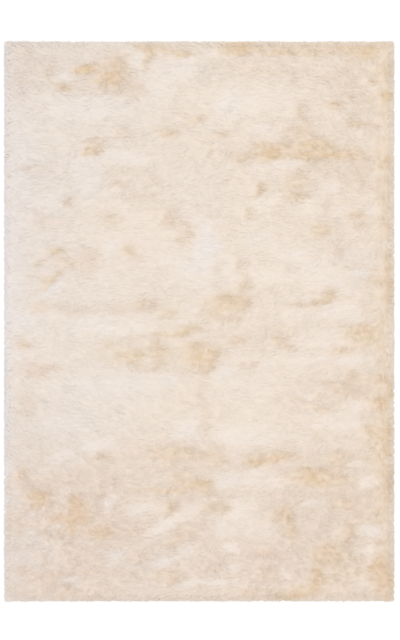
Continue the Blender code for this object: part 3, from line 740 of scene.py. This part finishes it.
def brushed_grids():
    """Grids of the pile's warmth, its share of rose, how lilac it is, and its flow's X and Y.

    Warmth sums the places' tones and a slow rise to the right and towards the lower end. It
    is mottled by noise, most where the pile parts, which frays the partings. Lilac grows to
    the left, with slow noise. The pile lies towards -X, wandering with slow noise. On a mat it
    follows the mat's long axis, and off a parting it falls to both sides. Where it lies
    inwards near the outline, it parts a little from the pile that hangs outwards.
    """
    x, y = np.meshgrid(*grid_lines(TONE_PITCH), indexing="ij")
    gold = SLOW_GOLD * np.clip(x / HALF_WIDTH, 0, 1) ** 3
    rose = SLOW_ROSE * eased(np.clip((LOW_START - y) / LOW_REACH, 0, 1))
    lilac = LILAC_MIDDLE - LILAC_RISE * x / HALF_WIDTH + layered(x, y, LILAC_DRIFT)
    pale, parted = 0.0, 0.0
    drift = layered(x, y, FLOW_DRIFT)
    flow_x, flow_y = -np.cos(drift), -np.sin(drift)
    for place, strength, off_axis in over_places(x, y):
        turn = math.radians(place.turn)
        axis_x, axis_y = -math.cos(turn), -math.sin(turn)
        if place.tone > 0:
            gold = gold + place.tone * (1 - place.tint) * strength
            rose = rose + place.tone * place.tint * strength
            parted = parted + strength
            push = PARTING_PUSH * place.tone * strength * np.tanh(PARTING_STEEP * off_axis)
            flow_x, flow_y = flow_x + push * axis_y, flow_y - push * axis_x
        else:
            pale = pale - place.tone * strength
            lilac = lilac + place.tint * strength
            flow_x = flow_x - place.tone * strength * axis_x
            flow_y = flow_y - place.tone * strength * axis_y
    out_x, out_y = way_out(x, y)
    inwards = -(flow_x * out_x + flow_y * out_y) / np.hypot(flow_x, flow_y)
    rim_parting = bell(inside(x, y) - RIM_PARTING_INSET, RIM_PARTING_WIDTH)
    gold = gold + RIM_PARTING_TONE * np.clip(inwards, 0, 1) * rim_parting
    grain = layered(x, y, GRAIN)
    warm = gold * (1 + grain) + rose * (1 + ROSE_GRAIN * grain) - pale * (1 - PALE_GRAIN * grain)
    warm = warm + layered(x, y, MOTTLING) * rising(OPEN_MOTTLING, parted)
    rosiness = np.clip(rose / np.maximum(gold + rose, LEAST_DEPTH), 0, 1)
    return warm, rosiness, np.clip(lilac, 0, 1), flow_x, flow_y


BRUSHED_GRIDS = brushed_grids()


def brushing(x, y):
    """Warmth, from about -1 to 1, and the heading of the pile, which hangs outwards at the rim.

    Where it begins to hang it also lies along the rim, one way or the other, so that it turns
    outwards little by little.
    """
    warm, _, _, flow_x, flow_y = (between(values, TONE_PITCH, x, y) for values in BRUSHED_GRIDS)
    out_x, out_y = way_out(x, y)
    reach = HANG_REACH * (1 + layered(x, y, HANG_DRIFT))
    hang = HANG_PULL * bell(inside(x, y), reach)
    sideways = ALONG_RIM * np.tanh(layered(x, y, RIM_TURNS))
    sideways = sideways * bell(inside(x, y) - reach, ALONG_RIM_WIDTH)
    flow_x = flow_x + hang * out_x - sideways * out_y
    flow_y = flow_y + hang * out_y + sideways * out_x
    return warm, np.arctan2(flow_y, flow_x)


def colouring(x, y):
    """Warmth, rosiness and how lilac it is at each place, which the yarn's material reads."""
    return [between(values, TONE_PITCH, x, y) for values in BRUSHED_GRIDS[:3]]


# ---------------------------------------------------------------- meshes


def placed(name, data):
    """A new object in the scene, which holds this mesh, light or camera."""
    made = bpy.data.objects.new(name, data)
    bpy.context.scene.collection.objects.link(made)
    return made


def new_piece(name, points, faces, smooth=True):
    """An object of these points and faces. faces is an array with a row for each face."""
    mesh = bpy.data.meshes.new(name)
    mesh.vertices.add(len(points))
    mesh.vertices.foreach_set("co", np.asarray(points, np.float32).ravel())
    mesh.loops.add(faces.size)
    mesh.loops.foreach_set("vertex_index", np.asarray(faces, np.int32).ravel())
    mesh.polygons.add(len(faces))
    mesh.polygons.foreach_set("loop_start", np.arange(0, faces.size, faces.shape[1], dtype=np.int32))
    mesh.update(calc_edges=True)
    if smooth:
        mesh.shade_smooth()
    return placed(name, mesh)


def add_numbers(piece, name, values):
    """A number for each point of the piece, which its material reads by this name."""
    attribute = piece.data.attributes.new(name, "FLOAT", "POINT")
    attribute.data.foreach_set("value", np.asarray(values, np.float32).ravel())


def add_colouring(piece, points, odd):
    """What the yarn's material reads at each point, with this much added to its warmth."""
    warm, rosiness, lilac = colouring(points[:, 0], points[:, 1])
    add_numbers(piece, "warmth", warm + odd)
    add_numbers(piece, "rosiness", rosiness)
    add_numbers(piece, "lilac", lilac)


def add_map(piece, name, places):
    """A UV map with a place for each corner of each face."""
    layer = piece.data.uv_layers.new(name=name, do_init=False)
    layer.uv.foreach_set("vector", np.asarray(places, np.float32).ravel())


def unit(vectors):
    """The same directions, each with a length of 1."""
    return vectors / np.maximum(np.linalg.norm(vectors, axis=-1, keepdims=True), TINY)


def lock_faces(rings):
    """Triangles of one closed lock, and each corner's place round and along it.

    Point 0 is the root, then come three points for each ring, and the tip is the last. Round
    goes from 0 to 1 over the three sides, and along is 0 at the root and 1 at the tip.
    """
    last = 3 * len(rings) + 1
    along = (0.0, *rings, 1.0)
    faces, places = [], []

    def add(*corners):
        """A triangle, whose corners are a point, its place round and its ring."""
        faces.append([point for point, _, _ in corners])
        places.append([(around, along[ring]) for _, around, ring in corners])

    for side in range(3):
        after, start, end = (side + 1) % 3, side / 3, (side + 1) / 3
        middle = (start + end) / 2
        add((0, middle, 0), (1 + after, end, 1), (1 + side, start, 1))
        for ring in range(1, len(rings)):
            low, high = 3 * ring - 2, 3 * ring + 1
            near, far = (low + side, start, ring), (low + after, end, ring)
            near_up, far_up = (high + side, start, ring + 1), (high + after, end, ring + 1)
            add(near, far, far_up)
            add(near, far_up, near_up)
        top = 3 * len(rings) - 2
        tip = len(rings) + 1
        add((top + side, start, tip - 1), (top + after, end, tip - 1), (last, middle, tip))
    return np.array(faces), np.array(places)


def lock_points(locks):
    """Points of many locks, and the upward direction of each point.

    A three-sided profile is carried along each path, which runs from root to tip. At each
    station between them it has two corners a width apart and a ridge over them, square to the
    path and turned by roll. A third of its thickness lies below the path. The root and the tip
    are points, and SWELL gives the size in between.
    """
    stations = locks.paths.shape[1]
    ahead = unit(locks.paths[:, 2:] - locks.paths[:, :-2])
    side = unit(np.cross([0.0, 0.0, 1.0], ahead))
    up = np.cross(ahead, side)
    turn = locks.roll[:, None, None]
    side, up = side * np.cos(turn) + up * np.sin(turn), up * np.cos(turn) - side * np.sin(turn)
    swell = np.interp(np.arange(1, stations - 1), (0, stations - 3, stations - 2), SWELL)
    half = (locks.width[:, None] * swell / 2)[:, :, None]
    high = (locks.thickness[:, None] * swell)[:, :, None]
    middle = locks.paths[:, 1:-1]
    left, right = middle - side * half - up * high / 3, middle + side * half - up * high / 3
    ridge = middle + up * high * 2 / 3
    rings = np.stack((left, right, ridge), axis=2).reshape(len(middle), -1, 3)
    outward = np.stack((up - side, up + side, up), axis=2).reshape(len(middle), -1, 3)
    points = np.concatenate((locks.paths[:, :1], rings, locks.paths[:, -1:]), axis=1)
    own = np.concatenate((up[:, :1], unit(outward), up[:, -1:]), axis=1)
    share = locks.own[:, None, None]
    return points, unit(own * share + locks.up[:, None] * (1 - share))


def atlas(places, locks):
    """A map for baking: a cell for each lock, half as wide as high, with a strip for each side."""
    margin = 0.04  # of a cell
    columns = math.ceil(math.sqrt(locks * 2))
    rows = math.ceil(locks / columns)
    number = np.arange(locks)
    cell = np.stack((number % columns, number // columns), axis=1)[:, None, None]
    return (cell + margin + (1 - 2 * margin) * places) / (columns, rows)


# Many locks: their paths from root to tip, (locks, stations, 3), and a value each for the rest.
# up is the pile's own upward direction there, own the share of the lock's in its shading, and
# odd how much warmer it is than its neighbours.
Locks = namedtuple("Locks", "paths width thickness roll up own odd")


def lock_piece(name, locks, rings, seed):
    """One piece that holds many locks, with what its material reads from it.

    Its corners are shaded by the upward directions of lock_points, and those of each lock's
    underside, the face between its two lower corners, by the opposite ones. The strand map is
    in millimetres round and along the lock, and each lock has its own place on it, so that no
    two have the same streaks.
    """
    count = len(locks.paths)
    points, up = lock_points(locks)
    faces, places = lock_faces(rings)
    each = points.shape[1]
    all_faces = (faces + each * np.arange(count)[:, None, None]).reshape(-1, 3)
    piece = new_piece(name, points.reshape(-1, 3), all_faces)
    side_faces = len(faces) // 3
    facing = np.where(np.arange(len(faces)) < side_faces, -1.0, 1.0)[:, None, None]
    piece.data.normals_split_custom_set((up[:, faces] * facing).reshape(-1, 3))
    draw = chance(seed)
    along = np.concatenate(([0.0], np.repeat(rings, 3), [1.0]))
    add_numbers(piece, "along", np.tile(along, (count, 1)))
    add_colouring(piece, points.reshape(-1, 3), np.repeat(locks.odd, each))
    add_numbers(piece, "lot", np.repeat(draw.uniform(0, 1, count), each))
    length = np.linalg.norm(np.diff(locks.paths, axis=1), axis=2).sum(1)
    millimetres = 1000 * np.stack((locks.width * GIRTH, length), axis=1)[:, None, None]
    own_place = draw.uniform(0, STRAND_SPREAD, (count, 1, 1, 2))
    add_map(piece, "strand", places * millimetres + own_place)
    add_map(piece, "OFBake", atlas(places, count))
    return piece


# ---------------------------------------------------------------- the pile


def clump_middles(x, y):
    """The middle of each root's clump, and a chance number and tilt that its clump shares.

    Clumps are the cells of a grid whose lines wander with noise. Each second row is moved by
    half a cell.
    """
    row_step = 1000  # more than a row has cells, so that each cell gets its own number
    wander_x, wander_y = x + layered(x, y, CLUMP_WANDER_X), y + layered(x, y, CLUMP_WANDER_Y)
    row = np.floor((wander_y + 2 * HALF_LENGTH) / CLUMP_PITCH).astype(int)
    column = np.floor((wander_x + 2 * HALF_WIDTH) / CLUMP_PITCH + (row % 2) / 2).astype(int)
    _, clump = np.unique(row * row_step + column, return_inverse=True)
    count = np.bincount(clump)
    middle_x, middle_y = np.bincount(clump, x) / count, np.bincount(clump, y) / count
    shared = chance(seed=13).normal(0, 1, len(count))
    tilt = chance(seed=14).normal(0, CLUMP_TILT, (len(count), 3)) * (1, 1, 0)
    return middle_x[clump], middle_y[clump], shared[clump], tilt[clump]


def field_roots():
    """Roots in even rows, each moved off its place by chance."""
    x, y = even_rows(FIELD_EDGE, FIELD_PITCH)
    draw = chance(seed=21)
    x = x + draw.uniform(-ROOT_DRIFT, ROOT_DRIFT, x.shape) * FIELD_PITCH
    y = y + draw.uniform(-ROOT_DRIFT, ROOT_DRIFT, y.shape) * FIELD_PITCH
    return x.ravel(), y.ravel()


def field_locks(x, y):
    """The locks rooted at these places.

    A lock has three stretches. The first climbs steeply, the second lies over and the third
    levels out, all along a heading that curls evenly. Their rises add up over the ground
    below each station. Stations are then drawn to the clump's middle by pull times the
    square of their place along the lock, and a lock that would pass the outline is shortened.
    """
    draw = chance(seed=22)
    warm, heading = brushing(x, y)
    middle_x, middle_y, shared, tilt = clump_middles(x, y)
    size = len(x)
    length = lie("length", warm) * draw.uniform(*LENGTHS, size) * (1 + CLUMP_LENGTH * shared)
    curl = np.radians(lie("curl", warm))
    heading = heading + curl * draw.normal(0, HEADING_SPREAD, size) + CLUMP_HEADING * shared
    strays = draw.uniform(0, 1, size) < STRAYS
    heading = heading + strays * draw.normal(0, STRAY_SPREAD, size)
    stations = np.array((*RINGS, 1.0))
    stretch = np.diff(stations, prepend=0.0)
    slopes = np.stack([lie(name, warm) for name in ("climb", "lay", "droop")], axis=1)
    slopes = np.radians(slopes + draw.normal(0, 1, slopes.shape) * SLOPE_SPREAD)
    curl = curl * draw.normal(0, CURL_SPREAD, size)
    ways = heading[:, None] + curl[:, None] * (stations - stretch / 2)
    run = length[:, None] * stretch * np.cos(slopes)
    off_x, off_y = np.cumsum(run * np.cos(ways), 1), np.cumsum(run * np.sin(ways), 1)
    rise = np.cumsum(length[:, None] * stretch * np.sin(slopes), 1)
    pull = (lie("pull", warm) * draw.uniform(*PULLS, size))[:, None] * stations**2
    off_x += pull * (middle_x - x)[:, None]
    off_y += pull * (middle_y - y)[:, None]
    root_in, tip_in = inside(x, y), inside(x + off_x[:, -1], y + off_y[:, -1])
    fits = np.clip((root_in - STOP_SHORT) / np.maximum(root_in - tip_in, TINY), SHORTEST, 1)
    fits = np.where(tip_in < STOP_SHORT, fits, 1.0)[:, None]
    place_x, place_y = x[:, None] + off_x * fits, y[:, None] + off_y * fits
    rise = rise * fits * rising(SETTLED, inside(place_x, place_y) / SETTLE_REACH)
    sunk = lie("sunk", warm)
    height = ground(place_x, place_y, sunk[:, None]) + rise
    path = np.stack((place_x, place_y, height), axis=2)
    root = np.stack((x, y, ground(x, y, sunk)), axis=1)[:, None]
    return Locks(
        paths=np.concatenate((root, path), axis=1),
        width=lie("width", warm) * draw.uniform(*SIZES, size),
        thickness=lie("thickness", warm) * draw.uniform(*SIZES, size),
        roll=np.radians(lie("roll", warm)) * draw.normal(0, 1, size),
        up=unit(pile_up(place_x[:, 1], place_y[:, 1]) + tilt),
        own=lie("own", warm),
        odd=CLUMP_ODD * shared + draw.normal(0, ODD_SPREAD, size),
    )


def chosen(locks, held):
    """Some of the locks."""
    return Locks(*(values[held] for values in locks))


def pile_field():
    """The open pile, as FIELD_PIECES pieces from the lower end to the top end."""
    x, y = field_roots()
    locks = field_locks(x, y)
    shares = np.array_split(np.argsort(y, kind="stable"), FIELD_PIECES)
    return [
        lock_piece(f"pile_{number + 1}", chosen(locks, held), RINGS, seed=41 + number)
        for number, held in enumerate(shares)
    ]


def outline_place(way):
    """Places on the outline, this far round it from the middle of the right-hand side."""
    arc = np.linspace(0, math.pi / 2, 9)  # a corner, as 8 short chords
    inner_x, inner_y = HALF_WIDTH - CORNER, HALF_LENGTH - CORNER
    turns = [arc + quarter * math.pi / 2 for quarter in range(4)]
    corners_x = [side * inner_x + CORNER * np.cos(turn) for side, turn in zip((1, -1, -1, 1), turns)]
    corners_y = [side * inner_y + CORNER * np.sin(turn) for side, turn in zip((1, 1, -1, -1), turns)]
    x = np.concatenate(([HALF_WIDTH], *corners_x, [HALF_WIDTH]))
    y = np.concatenate(([0.0], *corners_y, [0.0]))
    gone = np.concatenate(([0.0], np.cumsum(np.hypot(np.diff(x), np.diff(y)))))
    way = np.mod(way, gone[-1])
    return np.interp(way, gone, x), np.interp(way, gone, y)


def round_outline():
    """The way round the outline: a rectangle's, less what its round corners cut off."""
    return 4 * (HALF_WIDTH + HALF_LENGTH) - (8 - 2 * math.pi) * CORNER


def rim_row(row, number):
    """One row of locks round the rim.

    A path is a quadratic curve: from the root, over a point at the crest's height, to a tip at
    the outline. Tips are drawn to the middle of their clump along the rim, and whole clumps
    reach a little more or less far. A path is raised where its lock would touch the floor.
    """
    draw = chance(seed=51 + number)
    locks = round(round_outline() / RIM_PITCH)
    way = (np.arange(locks) + draw.uniform(-RIM_DRIFT, RIM_DRIFT, locks)) * round_outline() / locks
    wander = layered(way, np.full(locks, number), RIM_WANDER)
    clump = np.floor((way + wander) / RIM_CLUMP).astype(int)
    _, clump = np.unique(clump, return_inverse=True)
    middle = (np.bincount(clump, way) / np.bincount(clump))[clump]
    clump_reach = chance(seed=62 + number).normal(0, CLUMP_REACH, clump.max() + 1)[clump]
    root_x, root_y = outline_place(way)
    out_x, out_y = way_out(root_x, root_y)
    inset = row.inset * draw.uniform(*INSETS, locks)
    root_x, root_y = root_x - inset * out_x, root_y - inset * out_y
    tip_way = way + RIM_PULL * (middle - way) + draw.normal(0, TIP_SWAY, locks)
    tip_x, tip_y = outline_place(tip_way)
    tip_out_x, tip_out_y = way_out(tip_x, tip_y)
    reach = clump_reach + draw.normal(*TIP_REACH, locks) - END_SHORT * np.abs(tip_out_y)
    reach = np.clip(reach, *TIP_LIMITS)
    tip_x, tip_y = tip_x + reach * tip_out_x, tip_y + reach * tip_out_y
    tip_z = np.maximum(row.tip_height * draw.uniform(*TIP_HEIGHTS, locks), LOWEST_TIP)
    root = np.stack((root_x, root_y, np.full(locks, row.root_height)), 1)[:, None]
    tip = np.stack((tip_x, tip_y, tip_z), 1)[:, None]
    over = root + CREST_PLACE * (tip - root)
    over[:, 0, 2] = row.crest * draw.uniform(*CRESTS, locks)
    t = np.array((0.0, *RIM_RINGS, 1.0))[:, None]
    paths = root * (1 - t) ** 2 + over * 2 * t * (1 - t) + tip * t**2
    width = draw.uniform(*RIM_WIDTHS, locks)
    low = paths[:, 1:-1, 2] - width[:, None] * LOCK_BELOW
    paths[:, 1:-1, 2] += np.maximum(LOWEST_LOCK - low, 0)
    return Locks(
        paths=paths,
        width=width,
        thickness=width * RIM_THICKNESS,
        roll=draw.normal(0, RIM_ROLL, locks),
        up=pile_up(paths[:, 2, 0], paths[:, 2, 1]),
        own=np.full(locks, RIM_OWN),
        odd=draw.normal(0, RIM_ODD, locks),
    )


def rim_locks():
    """All rows round the rim, as one piece."""
    rows = [rim_row(row, number) for number, row in enumerate(RIM_ROWS)]
    locks = Locks(*(np.concatenate(values) for values in zip(*rows)))
    return lock_piece("rim_locks", locks, RIM_RINGS, seed=71)


# ---------------------------------------------------------------- bed and backing


def closed_pad(name, inset, pitch, top, bottom):
    """A closed pad: two grids, one over the other, and a wall that joins their borders.

    top and bottom give the height at (x, y).
    """
    x, y = even_rows(inset, pitch, more=1)
    number = np.arange(x.size).reshape(x.shape)
    x, y = x.ravel(), y.ravel()
    upper = np.stack((x, y, top(x, y)), axis=1)
    lower = np.stack((x, y, bottom(x, y)), axis=1)
    quads = np.stack((number[:-1, :-1], number[:-1, 1:], number[1:, 1:], number[1:, :-1]), axis=2)
    quads = quads.reshape(-1, 4)
    under = quads[:, ::-1] + x.size
    border = np.concatenate((number[0, :-1], number[:-1, -1], number[-1, :0:-1], number[:0:-1, 0]))
    onward = np.roll(border, -1)
    wall = np.stack((border + x.size, onward + x.size, onward, border), axis=1)
    return new_piece(name, np.concatenate((upper, lower)), np.concatenate((quads, under, wall)))


def pile_bed():
    """The bed of tuft roots: the ground under the locks, moved in and down, with small lumps."""

    def top(x, y):
        warm, _ = brushing(x, y)
        edge = rising(BED_EDGE, (inside(x, y) - BED_INSET) / BED_RISE)
        moved_x, moved_y = x * BED_MOVED[0], y * BED_MOVED[1]
        over = ground(moved_x, moved_y, lie("fill", warm)) * edge + layered(x, y, BED_LUMPS)
        return np.maximum(over, BACKING_THICKNESS + BED_LEAST)

    def bottom(x, y):
        return np.full_like(x, BACKING_THICKNESS + BED_GAP)

    bed = closed_pad("pile_bed", BED_INSET, BED_PITCH, top, bottom)
    add_colouring(bed, points_of(bed), odd=0.0)
    return bed


def backing_cloth():
    """The woven backing, an even sheet on the floor."""
    return closed_pad(
        "backing_cloth",
        BACKING_INSET,
        BACKING_PITCH,
        lambda x, y: np.full_like(x, BACKING_THICKNESS),
        lambda x, y: np.zeros_like(x),
    )


# ---------------------------------------------------------------- materials


class Wire:
    """A node's output that takes part in sums: each operator adds the Math node for it."""

    def __init__(self, shader, socket):
        self.shader, self.socket = shader, socket

    def math(self, operation, *values):
        """What this Math operation makes of one or two values."""
        inputs = dict(zip(("Value", "Value_001"), values))
        return self.shader.add("Math", {"operation": operation}, inputs)

    def __add__(self, other):
        return self.math("ADD", self, other)

    def __sub__(self, other):
        return self.math("SUBTRACT", self, other)

    def __rsub__(self, other):
        return self.math("SUBTRACT", other, self)

    def __mul__(self, other):
        return self.math("MULTIPLY", self, other)

    def __pow__(self, other):
        return self.math("POWER", self, other)

    def clamped(self):
        """The same, held between 0 and 1."""
        return self.math("MINIMUM", self.math("MAXIMUM", self, 0.0), 1.0)

    __radd__, __rmul__ = __add__, __mul__


class Shader:
    """A material's nodes, added one by one and joined to its Principled node."""

    def __init__(self, name):
        self.material = bpy.data.materials.new(name)
        self.material.use_nodes = True
        self.tree = self.material.node_tree
        self.principled = self.tree.nodes["Principled BSDF"]

    def add(self, kind, settings=None, inputs=None, output=None):
        """A new node's output: the one with this name, or else the first.

        The node's settings are set first, then its inputs by their names.
        """
        node = self.tree.nodes.new("ShaderNode" + kind)
        for name, value in (settings or {}).items():
            setattr(node, name, value)
        self.feed(node, inputs or {})
        sockets = {socket.identifier: socket for socket in node.outputs}
        return Wire(self, sockets[output] if output else node.outputs[0])

    def feed(self, node, inputs):
        """Gives a node's inputs these values, or joins them to these outputs."""
        sockets = {socket.identifier: socket for socket in node.inputs}
        for name, value in inputs.items():
            if isinstance(value, Wire):
                self.tree.links.new(value.socket, sockets[name])
            else:
                sockets[name].default_value = value

    def number(self, name):
        """What the piece holds for each point under this name."""
        return self.add("Attribute", {"attribute_name": name}, output="Fac")

    def mix(self, share, first, second, blend="MIX"):
        """Colour with this share of second over first, or of their product."""
        settings = {"data_type": "RGBA", "blend_type": blend}
        inputs = {"Factor_Float": share, "A_Color": first, "B_Color": second}
        return self.add("Mix", settings, inputs, output="Result_Color")

    def scaled(self, vector, scale):
        """A vector with each part times its own scale."""
        inputs = {"Vector": vector, "Vector_001": scale}
        return self.add("VectorMath", {"operation": "MULTIPLY"}, inputs)

    def noise(self, vector, detail=2.0):
        """Noise between 0 and 1 at this place."""
        return self.add("TexNoise", None, {"Vector": vector, "Scale": 1.0, "Detail": detail})

    def bump(self, height, distance):
        """Normals as if the surface rose by distance where height is 1."""
        return self.add("Bump", None, {"Height": height, "Distance": distance})

    def finish(self, **inputs):
        """Joins the Principled node. The names are its sockets', with _ for each space."""
        self.feed(self.principled, {name.replace("_", " "): value for name, value in inputs.items()})
        return self.material


def yarn_colour(yarn, warmth):
    """The yarn's colour at this warmth: painted silver sheen, cream, then honey or rose, which is
    partly painted depth shade, and how deep it gets.
    """
    pale = yarn.mix((SILVER_AT_REST - SILVER_FALL * warmth).clamped(), CREAM, SILVER_SHEEN)
    tinted = yarn.mix(yarn.number("lilac"), pale, LILAC, "MULTIPLY")
    deep = yarn.mix(yarn.number("rosiness"), HONEY, ROSE)
    return yarn.mix((warmth * (DEPTH[0] + DEPTH[1] * warmth)).clamped(), tinted, deep), deep


def yarn_material():
    """Silky yarn: honey at the root and where the pile parts, cream to silvery where it lies. The
    silvery sheen is painted into the colour, and the honey is partly the yarn's warmer tint and
    partly painted depth shade, the most at the root, deep in the pile.

    The streaks are noise on the strand map, about thirty times longer than wide, so they run
    along each lock as its fibres do. The gaps between them are narrow lines of painted shade, in
    the deep colour darkened. Where the pile parts, locks differ more from each other.
    """
    yarn = Shader("silky_yarn")
    along, warmth, lot = yarn.number("along"), yarn.number("warmth"), yarn.number("lot")
    strand = yarn.add("UVMap", {"uv_map": "strand"})
    fibres = yarn.noise(yarn.scaled(strand, FIBRES))
    strands = yarn.noise(yarn.scaled(strand, STRANDS), detail=1.0)
    parted = warmth.clamped()
    odd = (LOT_SPREAD + LOT_SPREAD_RISE * parted) * (lot - 0.5)
    # The root's extra warmth is painted shade, deep in the pile.
    body, deep = yarn_colour(yarn, warmth + ROOT_SHADE_WARMTH * (EVEN_PLACE - along) + odd)
    streak = 0.5 + FIBRE_CONTRAST * (fibres - 0.5) + STRAND_CONTRAST * (strands - 0.5)
    streak = streak.clamped()
    # Painted shade in the gaps between fibres: the deep colour, darkened.
    painted_gap_shade = (GAP_STEEP * (0.5 - streak)).clamped()
    painted_gap_colour = yarn.mix(1.0, deep, GAP_PAINTED_SHADE, "MULTIPLY")
    colour = yarn.mix((GAP_SHARE + GAP_SHARE_RISE * parted) * painted_gap_shade, body, painted_gap_colour)
    return yarn.finish(
        Base_Color=colour,
        Roughness=0.50 + 0.12 * parted,
        Normal=yarn.bump(streak, STREAK_BUMP),
        Specular_IOR_Level=0.35,
        Sheen_Weight=0.18,
        Sheen_Roughness=0.45,
        Sheen_Tint=(1.0, 0.96, 0.92, 1.0),
    )


def bed_material():
    """The crowded roots of the tufts: a little deeper in tone than the locks over them, which is
    painted shade under the locks, and deeper still between the tufts.
    """
    bed = Shader("tuft_roots")
    place = bed.add("TexCoord", output="Object")
    tufts = bed.noise(bed.scaled(place, BED_TUFTS))
    body, deep = yarn_colour(bed, bed.number("warmth") + BED_SHADE_WARMTH)
    # Painted shade: the deep colour in the dips between tufts.
    colour = bed.mix(BED_SHARE * (BED_BETWEEN - tufts).clamped(), body, deep)
    return bed.finish(Base_Color=colour, Roughness=0.75, Normal=bed.bump(tufts, 0.0004))


def backing_material():
    """Plain weave: warp and weft threads that pass over each other by turns.

    A thread's height is the square of a sine across it, and which thread is on top follows
    the product of the sines of both, which changes sign at each crossing. Where the threads dip,
    the colour goes towards JUTE_SHADE as painted shade, with some noise of fuzz.
    """
    cloth = Shader("woven_backing")
    place = cloth.add("TexCoord", output="Object")
    across = cloth.add("SeparateXYZ", None, {"Vector": place}, output="X")
    along = cloth.add("SeparateXYZ", None, {"Vector": place}, output="Y")
    warp = across.math("SINE", across * (math.pi / THREAD))
    weft = along.math("SINE", along * (math.pi / THREAD))
    over = (0.5 + CROSSING * (warp * weft)).clamped()
    height = over * warp**2.0 + (1.0 - over) * weft**2.0
    fuzz = cloth.noise(cloth.scaled(place, WEAVE_FUZZ))
    dip_shade_and_fuzz = ((1 - FUZZ_SHARE) * height + FUZZ_SHARE * fuzz).clamped()
    colour = cloth.mix(dip_shade_and_fuzz, JUTE_SHADE, JUTE)
    return cloth.finish(Base_Color=colour, Roughness=0.9, Normal=cloth.bump(height, 0.0006))


# ---------------------------------------------------------------- studio


def floor():
    """A plain white floor under the rug."""
    sides = ((-1, -1), (1, -1), (1, 1), (-1, 1))
    points = [(x * FLOOR_REACH, y * FLOOR_REACH, -FLOOR_DROP) for x, y in sides]
    made = new_piece("studio_floor", points, np.array([[0, 1, 2, 3]]), smooth=False)
    paint = Shader("white_floor")
    made.data.materials.append(paint.finish(Base_Color=FLOOR_WHITE, Roughness=0.9))


def lights():
    """Even white light from all round, and a very wide, soft one from nearly overhead.

    Past the floor's end the studio shows as white as the floor does.
    """
    world = bpy.data.worlds.new("studio")
    world.use_nodes = True
    nodes, links = world.node_tree.nodes, world.node_tree.links
    background = nodes["Background"]
    background.inputs["Color"].default_value = (1.0, 1.0, 1.0, 1.0)
    shown = nodes.new("ShaderNodeMapRange")
    shown.inputs["To Min"].default_value = EVEN_LIGHT
    shown.inputs["To Max"].default_value = 1.0
    links.new(nodes.new("ShaderNodeLightPath").outputs["Is Camera Ray"], shown.inputs["Value"])
    links.new(shown.outputs["Result"], background.inputs["Strength"])
    bpy.context.scene.world = world
    sun = bpy.data.lights.new("soft_sun", "SUN")
    sun.energy = SUN_STRENGTH
    sun.angle = SUN_WIDTH
    placed("soft_sun", sun).rotation_euler = SUN_TURN


def camera():
    """Straight down from high up, with the rug's length up the frame."""
    lens = bpy.data.cameras.new("overhead")
    lens.sensor_width = SENSOR
    lens.lens = SENSOR * CAMERA_HEIGHT / VIEW_LENGTH
    made = placed("overhead", lens)
    made.location = (*VIEW_MIDDLE, CAMERA_HEIGHT)
    bpy.context.scene.camera = made


# ---------------------------------------------------------------- the rug


def main():
    """Sets up the studio and builds the rug's pieces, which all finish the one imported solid."""
    camera()
    lights()
    floor()
    bpy.context.scene.view_settings.view_transform = "Standard"
    yarn = yarn_material()
    pile = [*pile_field(), rim_locks()]
    bed, backing = pile_bed(), backing_cloth()
    for piece in pile:
        piece.data.materials.append(yarn)
    bed.data.materials.append(bed_material())
    backing.data.materials.append(backing_material())
    for piece in (*pile, bed, backing):
        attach(piece, "root")
        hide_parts("shag_rug")


main()
